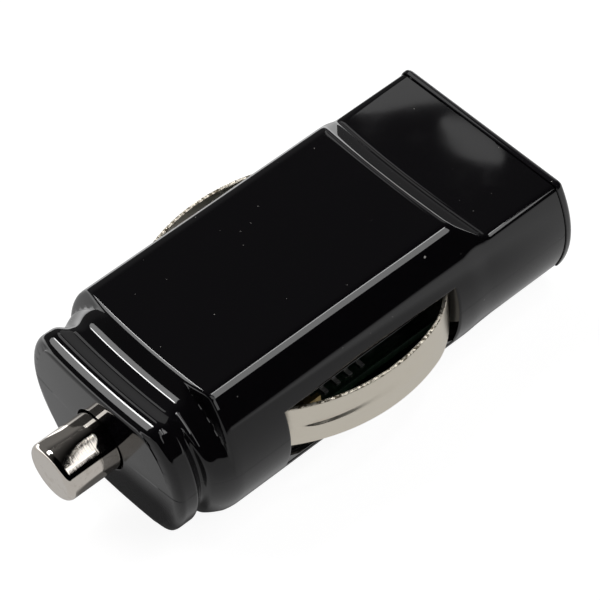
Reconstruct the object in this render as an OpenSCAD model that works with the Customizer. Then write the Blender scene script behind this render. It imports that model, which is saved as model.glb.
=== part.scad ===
// Car charger plug with one USB socket, for a round 12 volt socket in a car.
// Millimetres. Every piece is drawn on the centre pin's axis, with x measured from the
// pin's tip, and is then placed with the lower flat on z = 0 and the middle at the origin.

/* [Body] */
// Radius of the round sides about the pin's axis
body_r = 10.2; // [9.8:0.1:10.4]
// Height of the raised top flat above the pin's axis
label_h = 7.08; // [6.8:0.02:7.4]
// Length of the raised top flat
label_l = 24.68; // [23.9:0.02:26]
// Wall of the two shells
wall = 1.2; // [1:0.05:1.3]
// Radius of the bow that the nose, its valley and the flat's front edge have, seen from above
bow_r = 91; // [70:1:140]
// Width of the bevel plane's bite into the raised flat's long edges
edge_bite = 0.25; // [0.1:0.05:0.4]

/* [Head] */
// Radius of the head's round sides
head_r = 10.1; // [9.8:0.1:10.3]
// Height of the head's flat above the pin's axis
head_h = 4.82; // [4.75:0.01:5.2]
// Length of the slope from the raised flat down to the head's flat
step_l = 2.3; // [1.5:0.1:3]
// Length of the head's flat up to the end cap
head_l = 7.9; // [7.6:0.1:9]
// Thickness of the end cap's rim that shows
cap_t = 0.8; // [0.6:0.05:1]
// How far the end cap's rim stands proud of the shells
cap_proud = 0.12; // [0:0.02:0.2]
// Length of the end cap's spigot inside the shells
spigot_l = 1.5; // [1.2:0.1:2]
// Bow radius of the slope's edges, seen from above
step_bow_r = 120; // [90:5:200]

/* [Nose and valley] */
// Radius of the nose block's round sides
nose_r = 9.12; // [8.9:0.02:9.3]
// Height of the nose block's flats
nose_h = 6.2; // [5.9:0.05:6.4]
// Length of the rounding round the front face
nose_round = 1.05; // [0.8:0.05:1.3]
// Length of the land behind that rounding on the round sides
nose_land = 1; // [0.8:0.05:1.2]
// Depth of the groove round the sides
groove_d = 0.52; // [0.4:0.02:0.7]
// Length of the groove's front half
groove_l = 0.95; // [0.8:0.05:1.2]
// Length from the groove's bottom to the end of the shoulder behind it
shoulder_l = 3.05; // [2.8:0.05:3.3]
// Radius of that shoulder along the profile
shoulder_r = 4; // [3.5:0.1:4.5]
// Steepest angle of that shoulder
shoulder_deg = 40; // [34:1:44]
// Length of the fall from the nose's flats down to the valley
fall_l = 1.8; // [1.5:0.05:2]
// Height of the valley across the flats
valley_h = 5.77; // [5.6:0.01:5.9]
// Length of the valley's level part
valley_l = 0.79; // [0.6:0.01:1]
// Length of the slope from the valley up to the raised flat
slope_l = 1.53; // [1.4:0.01:1.8]
// Radius of the cove at the foot of that slope
cove_r = 0.84; // [0.6:0.02:0.9]
// How far the axis of the scoop over the upper corners lies below the pin's axis
scoop_down = 2.6; // [2.4:0.1:2.8]
// Radius of that scoop at its deepest
scoop_r = 10.19; // [10.1:0.01:10.3]
// Wall of the nose that the pin runs through
nose_wall = 2.45; // [2.2:0.05:2.7]

/* [Centre pin] */
// Radius of the pin
pin_r = 2.575; // [2.4:0.025:2.7]
// Length of pin that stands out of the nose
pin_out = 4.95; // [4.5:0.05:6]
// Chamfer round the pin's tip
pin_chamfer = 0.3; // [0.1:0.05:0.5]
// Radius of the flange that keeps the pin in
flange_r = 3.4; // [3.2:0.05:3.6]
// Thickness of the flange
flange_t = 0.8; // [0.6:0.05:1]
// Radius of the boss that centres the spring
boss_r = 1.3; // [1:0.05:1.4]
// Length of that boss
boss_l = 1.6; // [1.2:0.1:2]
// Radial running clearance of the pin in its bore
pin_gap = 0.06; // [0.03:0.01:0.1]
// Extra radius of the bore's open mouth
mouth_gap = 0.14; // [0.08:0.02:0.2]
// Depth of that mouth
mouth_d = 0.9; // [0.6:0.1:1.2]
// Travel of the pin when it is pressed
pin_travel = 2.2; // [1.8:0.1:2.4]

/* [Pin spring] */
// Wire of the spring
wire_d = 0.45; // [0.35:0.05:0.5]
// Radius of the coil to the middle of its wire
coil_r = 1.8; // [1.7:0.05:2]
// Number of turns
coil_turns = 6; // [5:1:7]
// Room left between the spring's turns and the pin's full travel
spring_spare = 1; // [0.8:0.1:1.5]

/* [Side contacts] */
// Thickness of the strip
strip_t = 0.35; // [0.3:0.05:0.45]
// Width of the strip
strip_w = 4.3; // [4:0.1:4.6]
// Radius of the strip's bow, outside
strip_bow_r = 15.9; // [15.5:0.1:16.4]
// Reach of the strip's crown from the pin's axis
strip_reach = 12.05; // [11.8:0.05:12.3]
// Travel of a strip when it is pressed in
strip_travel = 1.5; // [1.2:0.1:1.7]
// Width of the bead pressed along the strip
bead_w = 1.1; // [0.8:0.1:1.4]
// Height of that bead
bead_h = 0.2; // [0.15:0.05:0.35]
// Half the angle that the bead takes along the bow
bead_deg = 20; // [16:1:24]
// Start of the window, measured from the nose's face
window_x = 10.75; // [10.4:0.05:11.2]
// Length of the window
window_l = 17.7; // [17.2:0.1:18.2]
// Height of the window above the joint between the shells
window_up = 2.75; // [2.6:0.05:3]
// Depth of the window below that joint
window_down = 4.3; // [4:0.1:4.6]

/* [Circuit board] */
// Thickness of the board
board_t = 0.8; // [0.6:0.05:0.9]
// Width of the board between the side contacts
board_w = 15; // [14:0.1:15.4]
// Width of the board between the rear posts
board_tail_w = 13.2; // [12.8:0.1:13.4]
// Radius of the input capacitor
cap_in_r = 3.15; // [2.5:0.05:3.2]
// Height of the input capacitor
cap_in_h = 7; // [5:0.1:7.2]
// Radius of the output capacitor
cap_out_r = 2.5; // [2:0.05:2.6]
// Height of the output capacitor
cap_out_h = 6.8; // [5:0.1:7.2]
// Radius of the choke's ferrite core
core_r = 3.4; // [3:0.05:3.5]
// Height of the core
core_h = 5; // [4:0.1:5.5]
// Number of turns of wire that show on the choke
choke_turns = 9; // [6:1:12]

/* [USB socket] */
// Width of the socket's metal shell
usb_w = 13.1; // [12.9:0.05:13.2]
// Height of that shell
usb_h = 5.7; // [5.6:0.05:5.8]
// Length of that shell
usb_l = 10.2; // [9.8:0.1:10.4]
// Sheet that the shell is folded from
usb_t = 0.3; // [0.25:0.01:0.35]
// How far the tongue's front edge lies behind the end of that shell
tongue_back = 1.7; // [1.6:0.05:2]
// Thickness of the tongue that carries the contacts
tongue_t = 1.8; // [1.6:0.05:1.9]
// Width of the tongue
tongue_w = 11.2; // [10.8:0.1:11.4]
// Width of one contact
usb_contact_w = 1; // [0.8:0.05:1.2]

/* [Hidden] */

// Overlap of cutting shapes beyond what they cut, and the gap of a loose fit
eps = 0.5;
fit_gap = 0.1;
fine = 96;

// Places along the axis, from the pin's tip
face_x = pin_out;
side_set = pow(nose_r - nose_round, 2) / (2 * bow_r);
land_x = face_x + nose_round;
crest_x = land_x + nose_land;
groove_x = crest_x + groove_l;
fall_x = land_x + 0.1;
valley_x = fall_x + fall_l;
cove_x = valley_x + valley_l;
label_x = cove_x + slope_l;
shoulder_x = groove_x + shoulder_l;
step_x = label_x + label_l;
head_x = step_x + step_l;
end_x = head_x + head_l;
total_l = end_x + cap_t;
window_x0 = face_x + window_x;
window_x1 = window_x0 + window_l;

// The hollow in the shells
bay_x = face_x + nose_wall;
hollow_x = label_x + 1.38;
bay_r = nose_r - groove_d - wall - 0.1;
bay_h = valley_h - wall - 0.1;
hollow_r = min(body_r, head_r) - wall + 0.1;
hollow_h = label_h - wall;
head_wall = wall - 0.2;
head_hollow_h = head_h - head_wall;

// Raised flat's long edge: the angles of its corner and of the plane that bevels it
corner_deg = asin(label_h / body_r);
bevel_deg = (corner_deg + 90) / 2;
bevel_at = body_r * cos(bevel_deg - corner_deg) - edge_bite;

// Posts that locate the shells on each other
post_r = 1;
peg_r = 0.55;
peg_l = 1.5;
front_post = [hollow_x + 0.5, 5];
rear_post = [head_x - 0.6, usb_w / 2 + post_r + 0.35];

// Circuit board
board_x0 = front_post[0] + post_r + 0.6;
board_x1 = end_x - spigot_l - 0.3;
board_step_x = rear_post[0] - post_r - 0.8;
board_z = -usb_h / 2;
board_low = board_z - board_t;

// Pin and spring
spring_x0 = bay_x + flange_t;
spring_x1 = spring_x0 + pin_travel + coil_turns * wire_d + spring_spare;
terminal_t = 0.4;
tab_t = 0.4;

// Side contact: centre of its bow, and where its straight ends start
bow_x = (window_x0 + window_x1) / 2 + 0.4;
bow_y = strip_reach - strip_bow_r;
tail_x = window_x0 - 0.4;
tail_y = strip_out(window_x0) - 0.1;
tail_end = board_x0 + 0.3;
toe_bend = window_x1 + 0.3;
toe_x = window_x1 + 1;
toe_y = strip_out(toe_bend) - 0.35;
bow_start = acos((window_x0 - bow_x) / strip_bow_r);
bow_stop = acos((toe_bend - bow_x) / strip_bow_r);
lug_in = 2;
lug_h = 1.6;
foot_gap = 0.03;

// Places of the parts on the board
choke_at = [board_x0 + 9.8, 2.6];
cap_in_at = [choke_at[0] + core_r + cap_in_r + 0.2, 3];
cap_out_at = [cap_in_at[0] + 0.6, cap_in_at[1] - cap_in_r - cap_out_r - 0.3];
chip_at = [choke_at[0] + 0.3, choke_at[1] - core_r - 3.2];
chip_size = [4.9, 3.9, 1.5];
lead_pitch = 1.27;
diode_size = [1.6, 2.7, 1.15];
diode_at = [chip_at[0] + chip_size[0] / 2 + diode_size[0] / 2 + 0.3, -4.4];
resistor_size = [2, 1.25, 0.5];
capacitor_size = [2, 1.25, 1.2];
terminal_w = 0.35;
resistor_at = [[board_x0 + 5, 4.2], [board_x0 + 5, -2]];
capacitor_at = [[board_x0 + 5, 2], [board_x0 + 5, -4.2]];
lead_r = 0.25;
lead_gap = 0.1;
bung_l = 1.2;
can_t = 0.3;

// USB socket
usb_x0 = end_x - usb_l;
usb_r = 0.7;
block_l = 1.9;
tongue_top = usb_h / 2 - usb_t - 0.7;
contact_t = 0.2;
contact_y = [-3.5, -1, 1, 3.5];
tail_w = 0.5;
usb_tail_x = usb_x0 - 0.5;
port_w = 12.7;
port_h = 5.2;

// Reach of the strip's outer face at a place along the axis
function strip_out(x) = bow_y + sqrt(pow(strip_bow_r, 2) - pow(x - bow_x, 2));

// Points from one place to the next along a smooth wave, without the last point
function wave(a, b, n = 8) =
    [for (i = [0 : n - 1]) [
        a[0] + (b[0] - a[0]) * i / n,
        a[1] + (b[1] - a[1]) * (1 - cos(180 * i / n)) / 2
    ]];

// Points of a quarter round that starts along the second direction
function rounding(x, y, dx, dy, n = 7) =
    [for (i = [0 : n]) [x + dx * (1 - cos(90 * i / n)), y + dy * sin(90 * i / n)]];

// Point on the shoulder behind the groove, at an angle that is zero where it ends
function shoulder(a) = [shoulder_x - shoulder_r * sin(a), body_r - shoulder_r * (1 - cos(a))];

// Half profile of the round sides, from the front to the end cap
side_profile = concat(
    [[face_x - 0.2, nose_r - nose_round]],
    rounding(face_x + side_set, nose_r - nose_round, nose_round - side_set, nose_round),
    wave([crest_x, nose_r], [groove_x, nose_r - groove_d]),
    wave([groove_x, nose_r - groove_d], shoulder(shoulder_deg)),
    [for (i = [0 : 8]) shoulder(shoulder_deg * (1 - i / 8))],
    [[step_x, body_r], [head_x, head_r], [end_x, head_r]]
);

// Half profile of the flats over the nose and its valley, up past the raised flat's front edge
cove_up = label_h - valley_h - cove_r;
cove_deg = atan2(cove_up, slope_l) + asin(cove_r / norm([slope_l, cove_up]));
nose_profile = concat(
    rounding(face_x, nose_h - nose_round, nose_round, nose_round),
    wave([fall_x, nose_h], [valley_x, valley_h]),
    [[valley_x, valley_h]],
    [for (i = [0 : 8])
        let (a = cove_deg * i / 8)
        [cove_x + cove_r * sin(a), valley_h + cove_r * (1 - cos(a))]],
    [[label_x + 0.1 / tan(cove_deg), label_h + 0.1]]
);

// Half profile of the scoop that carries the valley over the upper corners
scoop_profile = concat(
    wave([fall_x + 0.3, scoop_r + 0.95], [cove_x - 0.2, scoop_r]),
    wave([cove_x - 0.2, scoop_r], [label_x - 0.1, scoop_r + 0.5]),
    [[label_x - 0.1, scoop_r + 0.5], [label_x + 0.28, scoop_r + 1.6], [label_x + 0.5, scoop_r + 2.4]]
);

// Places a solid that is drawn on the pin's axis
module place() {
    translate([-total_l / 2, 0, label_h]) children();
}

// Turns a half profile of points [x, r] about the pin's axis
module turn_about_pin(profile) {
    last = len(profile) - 1;
    rotate([0, 90, 0])
        rotate_extrude($fn = fine)
            polygon(concat(
                [[0, profile[0][0]]],
                [for (p = profile) [p[1], p[0]]],
                [[0, profile[last][0]]]
            ));
}

// Sweeps an outline of points [x, z] round a far upright axis, so its edges bow in plan
module bow_about(points, x, radius, half_deg) {
    translate([x + radius, 0, 0])
        rotate([0, 0, 180 - half_deg])
            rotate_extrude(angle = 2 * half_deg, $fn = 360)
                polygon([for (p = points) [x + radius - p[0], p[1]]]);
}

// Extrudes an outline of points [x, z] across the body
module across(points, half_w) {
    rotate([90, 0, 0])
        linear_extrude(2 * half_w, center = true)
            polygon(points);
}

// What is cut away in front of the nose and over its valley, above and below
module nose_cut() {
    high = 2 * label_h;
    last = len(nose_profile) - 1;
    points = concat(
        nose_profile,
        [[nose_profile[last][0], high], [face_x - 2, high], [face_x - 2, -high],
            [nose_profile[last][0], -high]],
        [for (i = [0 : last]) [nose_profile[last - i][0], -nose_profile[last - i][1]]]
    );
    bow_about(points, face_x, bow_r, 8);
}

// What is cut away over the upper corners, where the valley fades into the round sides
module corner_scoop() {
    outer = scoop_r + 4;
    last = len(scoop_profile) - 1;
    translate([0, 0, -scoop_down])
        rotate([0, 90, 0])
            rotate_extrude($fn = fine)
                polygon(concat(
                    [[outer, scoop_profile[0][0]]],
                    [for (p = scoop_profile) [p[1], p[0]]],
                    [[outer, scoop_profile[last][0]]]
                ));
}

// What is cut away over the head, above it
module head_cut() {
    rise = (label_h - head_h) / step_l;
    bow_about([
        [step_x - 1, label_h + rise], [head_x, head_h], [end_x + 1, head_h],
        [end_x + 1, 2 * label_h], [step_x - 1, 2 * label_h]
    ], step_x, step_bow_r, 6.5);
}

// The whole outside of the two shells, without windows or bore
module body_form() {
    difference() {
        turn_about_pin(side_profile);
        for (side = [-1, 1], turned = [0, 180])
            rotate([turned + side * (90 - bevel_deg), 0, 0])
                translate([face_x, -body_r, bevel_at]) cube([total_l, 2 * body_r, body_r]);
        for (side = [0, 180])
            rotate([side, 0, 0])
                translate([0, -body_r - eps, label_h])
                    cube([total_l, 2 * body_r + 2 * eps, body_r]);
        nose_cut();
        head_cut();
        mirror([0, 0, 1]) head_cut();
    }
}

// The hollow inside the two shells
module hollow_form() {
    high = hollow_h;
    intersection() {
        turn_about_pin([[bay_x, bay_r], [label_x, bay_r], [hollow_x, hollow_r], [end_x + eps, hollow_r]]);
        across([
            [bay_x, bay_h], [label_x, bay_h], [hollow_x, high], [step_x - head_wall, high],
            [head_x - head_wall, head_hollow_h], [end_x + eps, head_hollow_h],
            [end_x + eps, -head_hollow_h], [head_x - head_wall, -head_hollow_h],
            [step_x - head_wall, -high], [hollow_x, -high], [label_x, -bay_h], [bay_x, -bay_h]
        ], body_r);
    }
}

// Bore that the pin runs in, with its wider mouth
module pin_bore() {
    turn_about_pin([
        [face_x - eps, pin_r + pin_gap + mouth_gap], [face_x + mouth_d, pin_r + pin_gap + mouth_gap],
        [face_x + mouth_d, pin_r + pin_gap], [bay_x + eps, pin_r + pin_gap]
    ]);
}

// Windows in both sides, and the pockets that the strips' ends lie in
module side_windows() {
    pocket_w = strip_w + 0.5;
    inside = hollow_r - 1.2;
    for (side = [0, 1])
        mirror([0, side, 0]) {
            translate([window_x0, inside, -window_down])
                cube([window_l, body_r, window_down + window_up]);
            translate([tail_end - 0.3, inside, -pocket_w / 2])
                cube([window_x0 + eps - tail_end + 0.3, tail_y + 0.25 - inside, pocket_w]);
            translate([window_x1 - eps, inside, -pocket_w / 2])
                cube([toe_x + 0.3 + eps - window_x1, strip_out(window_x1) + 0.12 - inside, pocket_w]);
        }
}

// Groove in the shells that holds the end cap's ridge
module cap_groove() {
    intersection() {
        turn_about_pin([
            [end_x - spigot_l + 0.2, hollow_r + 0.35 + fit_gap],
            [end_x - spigot_l + 1, hollow_r + 0.35 + fit_gap]
        ]);
        translate([0, -body_r, -2 - fit_gap]) cube([total_l, 2 * body_r, 4 + 2 * fit_gap]);
    }
}

// Both shells in one, with the hollow, bore, windows and groove cut
module housing() {
    difference() {
        body_form();
        hollow_form();
        pin_bore();
        side_windows();
        cap_groove();
    }
}

// Half space above the joint between the shells
module above() {
    translate([0, -2 * body_r, 0]) cube([total_l + eps, 4 * body_r, 2 * body_r]);
}

// Upper half of the housing, with pegs and the ribs that hold the board and socket down
module upper_shell() {
    color("#141416") place() {
        difference() {
            intersection() {
                housing();
                above();
            }
            corner_scoop();
        }
        for (side = [-1, 1]) {
            translate([front_post[0], side * front_post[1], 0])
                cylinder(r = post_r, h = hollow_h + 0.2, $fn = 32);
            translate([front_post[0], side * front_post[1], -peg_l])
                cylinder(r = peg_r, h = peg_l + eps, $fn = 24);
            translate([rear_post[0], side * rear_post[1], 0])
                cylinder(r = post_r, h = head_hollow_h + 0.3, $fn = 32);
            translate([rear_post[0], side * rear_post[1], -peg_l])
                cylinder(r = peg_r, h = peg_l + eps, $fn = 24);
            translate([head_x + 0.8, side * 4 - 0.4, usb_h / 2 + 0.05])
                cube([4, 0.8, head_hollow_h + 0.3 - usb_h / 2]);
            translate([board_x0 + 0.4, side * 4.2 - 0.5, board_z + 0.05])
                cube([1, 1, hollow_h - board_z + 0.2]);
        }
    }
}

// Lower half of the housing, with sockets for the pegs and rests for the board
module lower_shell() {
    color("#141416") place() difference() {
        union() {
            difference() {
                housing();
                above();
            }
            for (side = [-1, 1]) {
                translate([front_post[0], side * front_post[1], -hollow_h - 0.2])
                    cylinder(r = post_r, h = hollow_h + 0.2, $fn = 32);
                translate([rear_post[0], side * rear_post[1], -head_hollow_h - 0.3])
                    cylinder(r = post_r, h = head_hollow_h + 0.3, $fn = 32);
                for (x = [board_x0 + 2, board_step_x - 5])
                    translate([x, side * 5.5 - 0.5, -hollow_h - 0.2])
                        cube([4, 1, hollow_h + 0.2 + board_low]);
            }
        }
        for (side = [-1, 1], p = [front_post, rear_post])
            translate([p[0], side * p[1], -peg_l - 0.3])
                cylinder(r = peg_r + 0.06, h = peg_l + 1, $fn = 24);
    }
}

// Rounded rectangle of y and z, made of exact squares and circles
module rounded(w, h, r) {
    square([w - 2 * r, h], center = true);
    square([w, h - 2 * r], center = true);
    for (sx = [-1, 1], sy = [-1, 1])
        translate([sx * (w / 2 - r), sy * (h / 2 - r)]) circle(r, $fn = 32);
}

// Extrudes a shape of y and z along the axis
module along(x, l) {
    translate([x, 0, 0])
        rotate([90, 0, 90])
            linear_extrude(l) children();
}

// Cap that closes the head round the socket, with its spigot and ridge
module end_cap() {
    rim_r = head_r + cap_proud;
    rim_h = head_h + cap_proud;
    round_l = cap_t * 0.7;
    color("#18181a") place() difference() {
        union() {
            intersection() {
                turn_about_pin(concat(
                    [[end_x, rim_r]],
                    [for (i = [0 : 6]) [
                        total_l - round_l + round_l * sin(15 * i),
                        rim_r - round_l * (1 - cos(15 * i))
                    ]]
                ));
                across(concat(
                    [[end_x, -rim_h]],
                    [for (i = [0 : 6]) [
                        total_l - round_l + round_l * sin(15 * i),
                        -rim_h + round_l * (1 - cos(15 * i))
                    ]],
                    [for (i = [0 : 6]) [
                        total_l - round_l + round_l * cos(15 * i),
                        rim_h - round_l * (1 - sin(15 * i))
                    ]],
                    [[end_x, rim_h]]
                ), body_r + 1);
            }
            intersection() {
                turn_about_pin([[end_x - spigot_l, hollow_r - fit_gap], [end_x + 0.1, hollow_r - fit_gap]]);
                translate([0, -body_r, -head_hollow_h + fit_gap])
                    cube([total_l, 2 * body_r, 2 * (head_hollow_h - fit_gap)]);
            }
            intersection() {
                turn_about_pin([
                    [end_x - spigot_l + 0.2 + fit_gap, hollow_r + 0.35],
                    [end_x - spigot_l + 1 - fit_gap, hollow_r + 0.35]
                ]);
                translate([0, -body_r, -2]) cube([total_l, 2 * body_r, 4]);
            }
        }
        along(end_x - spigot_l - eps, spigot_l + eps) rounded(usb_w + 0.1, usb_h + 0.1, usb_r);
        along(end_x - eps, cap_t + 2 * eps) rounded(port_w, port_h, 0.4);
    }
}

// Turned and plated pin, with the flange that stops it and the boss for its spring
module centre_pin() {
    color("#c9c4bb") place()
        turn_about_pin([
            [0, pin_r - pin_chamfer], [pin_chamfer, pin_r], [bay_x, pin_r], [bay_x, flange_r],
            [spring_x0, flange_r], [spring_x0, boss_r], [spring_x0 + boss_l - 0.2, boss_r],
            [spring_x0 + boss_l, boss_r - 0.2]
        ]);
}

// Points round the wire of the spring at one place of its coil
function wire_ring(turn, x, sides) =
    [for (k = [0 : sides - 1])
        let (r = coil_r + wire_d / 2 * cos(360 * k / sides))
        [x + wire_d / 2 * sin(360 * k / sides), r * cos(360 * turn), r * sin(360 * turn)]];

// Compression spring behind the pin, swept as one tube
module pin_spring() {
    sides = 6;
    per_turn = 16;
    steps = coil_turns * per_turn;
    start = spring_x0 + wire_d / 2 + 0.02;
    rise = spring_x1 - spring_x0 - wire_d - 0.04;
    points = [for (i = [0 : steps]) each wire_ring(i / per_turn, start + rise * i / steps, sides)];
    walls = [for (i = [0 : steps - 1], k = [0 : sides - 1])
        let (a = i * sides + k, b = i * sides + (k + 1) % sides)
        [a, b, b + sides, a + sides]];
    ends = [
        [for (k = [0 : sides - 1]) sides - 1 - k],
        [for (k = [0 : sides - 1]) steps * sides + k]
    ];
    color("#b8b6b0") place() polyhedron(points, concat(walls, ends), convexity = 10);
}

// Brass bracket on the board that carries the spring's other end
module spring_terminal() {
    foot_l = 3;
    tall = coil_r + wire_d + 0.6;
    color("#c9a24a") place() {
        across([
            [spring_x1, tall], [spring_x1 + terminal_t, tall],
            [spring_x1 + terminal_t, board_z + terminal_t], [spring_x1 + foot_l, board_z + terminal_t],
            [spring_x1 + foot_l, board_z], [spring_x1, board_z]
        ], 2.3);
        turn_about_pin([[spring_x1 - 0.5, boss_r - 0.1], [spring_x1 + 0.1, boss_r]]);
    }
}

// Point on the strip's bow at an angle about the bow's centre
function bow_point(a, r) = [bow_x + r * cos(a), bow_y + r * sin(a)];

// Tail and toe of the strip seen from above, which join its bow at either end
module strip_ends() {
    out_r = strip_bow_r - 0.02;
    in_r = strip_bow_r - strip_t + 0.02;
    polygon([
        [tail_end, tail_y], [tail_x, tail_y], bow_point(bow_start - 1, out_r),
        bow_point(bow_start - 1, in_r), [tail_x + 0.12, tail_y - strip_t], [tail_end, tail_y - strip_t]
    ]);
    polygon([
        bow_point(bow_stop + 1, out_r), [toe_x, toe_y], [toe_x, toe_y - strip_t],
        bow_point(bow_stop + 1, in_r)
    ]);
}

// Turns a shape of the strip's section along its bow, from one angle to another
module along_bow(from_deg, to_deg) {
    translate([bow_x, bow_y, 0])
        rotate([0, 0, from_deg])
            rotate_extrude(angle = to_deg - from_deg, $fn = 240) children();
}

// Sprung strip that touches the socket's side, with its pressed bead and the lug on its tab
module side_contact() {
    foot_low = board_z + tab_t + foot_gap;
    low = -strip_w / 2;
    along_bow(bow_stop, bow_start)
        translate([strip_bow_r - strip_t, low]) square([strip_t, strip_w]);
    along_bow(90 - bead_deg, 90 + bead_deg)
        polygon([
            [strip_bow_r - 0.1, -bead_w / 2], [strip_bow_r + 0.8 * bead_h, -bead_w / 4],
            [strip_bow_r + bead_h, 0], [strip_bow_r + 0.8 * bead_h, bead_w / 4],
            [strip_bow_r - 0.1, bead_w / 2]
        ]);
    linear_extrude(strip_w, center = true) strip_ends();
    translate([tail_end, 0, 0])
        rotate([90, 0, 90])
            linear_extrude(strip_t)
                polygon([
                    [tail_y - lug_in, foot_low], [tail_y - 0.6, foot_low], [tail_y - 0.6, low],
                    [tail_y, low], [tail_y, low + lug_h], [tail_y - lug_in, low + lug_h]
                ]);
}

module side_contact_far() {
    color("#cfcac2") place() side_contact();
}

module side_contact_near() {
    color("#cfcac2") place() mirror([0, 1, 0]) side_contact();
}

// Brass tab along the board's edge, which the strip's foot slides on
module contact_tab() {
    tab_x0 = board_x0 + 0.1;
    tab_l = 6.8;
    tongue_l = 1.5;
    edge = board_w / 2 + 0.4;
    tab_w = strip_travel + 1;
    translate([tab_x0, edge - tab_w, board_z]) cube([tab_l, tab_w, tab_t]);
    translate([tab_x0 + tab_l - tongue_l, edge - tab_t, board_z]) cube([tongue_l, tab_t, 1.7]);
}

module contact_tab_far() {
    color("#c9a24a") place() contact_tab();
}

module contact_tab_near() {
    color("#c9a24a") place() mirror([0, 1, 0]) contact_tab();
}

// Board with its holes for the leads of the socket and the capacitors
module circuit_board() {
    color("#3f6b45") place() difference() {
        union() {
            translate([board_x0, -board_w / 2, board_low])
                cube([board_step_x - board_x0, board_w, board_t]);
            translate([board_x0, -board_tail_w / 2, board_low])
                cube([board_x1 - board_x0, board_tail_w, board_t]);
        }
        for (y = contact_y)
            translate([usb_tail_x, y, board_low - eps])
                cylinder(r = tail_w / 2 + 0.15, h = board_t + 2 * eps, $fn = 24);
        for (p = lead_places())
            translate([p[0], p[1], board_low - eps])
                cylinder(r = lead_r + 0.1, h = board_t + 2 * eps, $fn = 24);
    }
}

// Where the leads of both capacitors pass the board
function lead_places() = [
    for (c = [[cap_in_at, 1.25], [cap_out_at, 1]], side = [-1, 1]) [c[0][0], c[0][1] + side * c[1]]
];

// Folded metal shell of the socket, with the sprung fingers that grip a plug
module usb_shell() {
    finger_l = 4.5;
    finger_w = 1.8;
    finger_x = usb_x0 + block_l + 1.6;
    slot = 0.25;
    color("#c4c2bd") place() {
        difference() {
            along(usb_x0, usb_l) difference() {
                rounded(usb_w, usb_h, usb_r);
                rounded(usb_w - 2 * usb_t, usb_h - 2 * usb_t, usb_r - usb_t);
            }
            for (side = [-1, 1])
                translate([finger_x, side * 3 - finger_w / 2 - slot, -usb_h])
                    cube([finger_l, finger_w + 2 * slot, 2 * usb_h]);
        }
        for (side = [-1, 1], up = [0, 1])
            mirror([0, 0, up])
                translate([finger_x - 0.1, side * 3 - finger_w / 2, usb_h / 2 - usb_t])
                    rotate([0, 4, 0]) cube([finger_l - 0.3, finger_w, usb_t * 0.8]);
    }
}

// Contacts, each with a wide blade under the tongue and a tail down through the board
module usb_contacts() {
    low = tongue_top - tongue_t - contact_t;
    blade_x = usb_x0 + block_l;
    tail_x0 = usb_tail_x - contact_t / 2;
    color("#d8b45a") place()
        for (y = contact_y) {
            translate([blade_x, y - usb_contact_w / 2, low])
                cube([end_x - tongue_back - 0.4 - blade_x, usb_contact_w, contact_t]);
            translate([tail_x0, y - tail_w / 2, low]) cube([blade_x - tail_x0, tail_w, contact_t]);
            translate([tail_x0, y - tail_w / 2, board_low]) cube([contact_t, tail_w, low - board_low]);
        }
}

// Moulded block and tongue that carry the socket's contacts
module usb_insulator() {
    inside_w = usb_w - 2 * usb_t - 0.06;
    inside_h = usb_h - 2 * usb_t - 0.06;
    color("#e6e6e2") place() difference() {
        union() {
            along(usb_x0, block_l) rounded(inside_w, inside_h, usb_r - usb_t);
            translate([usb_x0, -tongue_w / 2, tongue_top - tongue_t])
                cube([usb_l - tongue_back, tongue_w, tongue_t]);
        }
        for (y = contact_y)
            translate([usb_x0 - eps, y - tail_w / 2 - 0.02, tongue_top - tongue_t - contact_t - 0.02])
                cube([block_l + 2 * eps, tail_w + 0.04, contact_t + 0.02]);
    }
}

// Ferrite drum that the choke is wound on
module ferrite_core() {
    disc = 0.9;
    waist = core_r * 0.5;
    color("#3a3c40") place()
        translate([choke_at[0], choke_at[1], board_z])
            rotate_extrude($fn = 64)
                polygon([
                    [0, 0], [core_r, 0], [core_r, disc], [waist, disc],
                    [waist, core_h - disc], [core_r, core_h - disc], [core_r, core_h], [0, core_h]
                ]);
}

// Copper wire on that drum, one bulge for each turn that shows
module choke_winding() {
    disc = 0.9;
    waist = core_r * 0.5;
    full = core_r - 0.35;
    span = core_h - 2 * disc;
    pitch = span / choke_turns;
    color("#b4652f") place()
        translate([choke_at[0], choke_at[1], board_z + disc])
            rotate_extrude($fn = 64)
                polygon(concat(
                    [[waist, 0]],
                    [for (i = [0 : choke_turns - 1]) each [
                        [full - pitch * 0.3, i * pitch],
                        [full, (i + 0.3) * pitch],
                        [full, (i + 0.7) * pitch]
                    ]],
                    [[full - pitch * 0.3, span], [waist, span]]
                ));
}

// Aluminium can of a capacitor, with the crimp that grips its bung below its winding
module capacitor_can(r, h) {
    crimp = 0.25;
    translate([0, 0, lead_gap])
        rotate_extrude($fn = 64)
            polygon([
                [r - 0.15, 0], [r, 0.15], [r, bung_l * 0.4], [r - crimp, bung_l * 0.6],
                [r, bung_l * 0.8], [r, h - 0.35], [r - 0.35, h], [0, h],
                [0, bung_l], [r - can_t - crimp, bung_l], [r - can_t - crimp, 0]
            ]);
}

module input_capacitor() {
    color("#8f9296") place()
        translate([cap_in_at[0], cap_in_at[1], board_z]) capacitor_can(cap_in_r, cap_in_h);
}

module output_capacitor() {
    color("#8f9296") place()
        translate([cap_out_at[0], cap_out_at[1], board_z]) capacitor_can(cap_out_r, cap_out_h);
}

// Rubber bungs that close both cans
module capacitor_bungs() {
    color("#26262a") place()
        for (c = [[cap_in_at, cap_in_r, 1.25], [cap_out_at, cap_out_r, 1]])
            translate([c[0][0], c[0][1], board_z + lead_gap])
                difference() {
                    cylinder(r = c[1] - can_t - 0.25, h = bung_l, $fn = 48);
                    for (side = [-1, 1])
                        translate([0, side * c[2], -eps])
                            cylinder(r = lead_r, h = bung_l + 2 * eps, $fn = 24);
                }
}

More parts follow.
